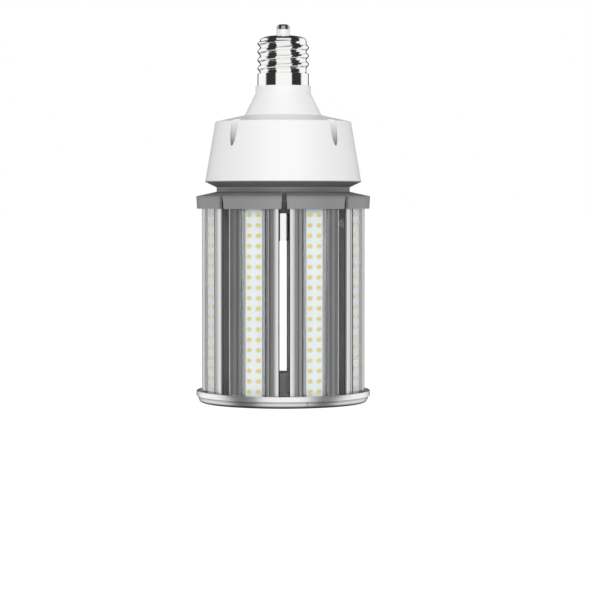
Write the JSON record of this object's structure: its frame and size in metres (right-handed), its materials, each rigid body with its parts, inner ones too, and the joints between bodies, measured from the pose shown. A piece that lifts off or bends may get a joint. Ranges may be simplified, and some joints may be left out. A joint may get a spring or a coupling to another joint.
{
  "type": "corn led bulb",
  "caption": "Corn LED bulb: finned aluminium strips with clear-covered LED boards stand in a ring between a bright tray and a grey cast cap, under a white driver housing and a mogul screw base.",
  "frame": {"origin": "middle of the flat sole of the bottom ring", "axes": "+Z along the lamp axis towards the screw base, -Y towards the viewer of the picture, through a gap between strips"},
  "size_m": [0.1316, 0.1316, 0.2857],
  "materials": {
    "polished_ring": "polished and bright plated",
    "dark_hub": "dark grey moulded",
    "extruded_aluminium": "satin extruded",
    "board_white": "white solder mask on aluminium",
    "led_phosphor": "phosphor in white frames",
    "clear_cover": "clear polycarbonate",
    "plated_screw": "zinc plated",
    "grey_paint": "grey powder coat on die-cast aluminium",
    "polished_post": "polished",
    "white_plastic": "smooth moulded, semi-gloss",
    "plated_shell": "nickel plated",
    "white_insulator": "white moulded insulator",
    "contact_metal": "tinned",
    "driver_laminate": "green laminate",
    "transformer_core": "ferrite and tape",
    "capacitor_sleeve": "sleeved can",
    "choke_winding": "enamelled winding",
    "lead_black": "insulated wire",
    "lead_white": "insulated wire",
    "lead_red": "insulated two-core lead"
  },
  "bodies": {
    "root": {"bottom_ring": "polished_ring", "bottom_hub": "dark_hub", "heat_sink_1": "extruded_aluminium", "heat_sink_2": "extruded_aluminium", "heat_sink_3": "extruded_aluminium", "heat_sink_4": "extruded_aluminium", "heat_sink_5": "extruded_aluminium", "heat_sink_6": "extruded_aluminium", "heat_sink_7": "extruded_aluminium", "heat_sink_8": "extruded_aluminium", "led_board_1": "board_white", "led_board_2": "board_white", "led_board_3": "board_white", "led_board_4": "board_white", "led_board_5": "board_white", "led_board_6": "board_white", "led_board_7": "board_white", "led_board_8": "board_white", "led_chips_1": "led_phosphor", "led_chips_2": "led_phosphor", "led_chips_3": "led_phosphor", "led_chips_4": "led_phosphor", "led_chips_5": "led_phosphor", "led_chips_6": "led_phosphor", "led_chips_7": "led_phosphor", "led_chips_8": "led_phosphor", "lens_cover_1": "clear_cover", "lens_cover_2": "clear_cover", "lens_cover_3": "clear_cover", "lens_cover_4": "clear_cover", "lens_cover_5": "clear_cover", "lens_cover_6": "clear_cover", "lens_cover_7": "clear_cover", "lens_cover_8": "clear_cover", "bonding_screw": "plated_screw", "upper_end_cap": "grey_paint", "center_post": "polished_post", "driver_housing": "white_plastic", "screw_shell": "plated_shell", "base_insulator": "white_insulator", "center_contact": "contact_metal", "fin_screws_top": "plated_screw", "fin_screws_bottom": "plated_screw", "housing_screws": "plated_screw", "hub_screws": "plated_screw", "board_screws": "plated_screw", "driver_board": "driver_laminate", "transformer": "transformer_core", "bulk_capacitors": "capacitor_sleeve", "filter_choke": "choke_winding", "line_lead": "lead_black", "neutral_lead": "lead_white", "led_leads": "lead_red"}
  },
  "joints": []
}
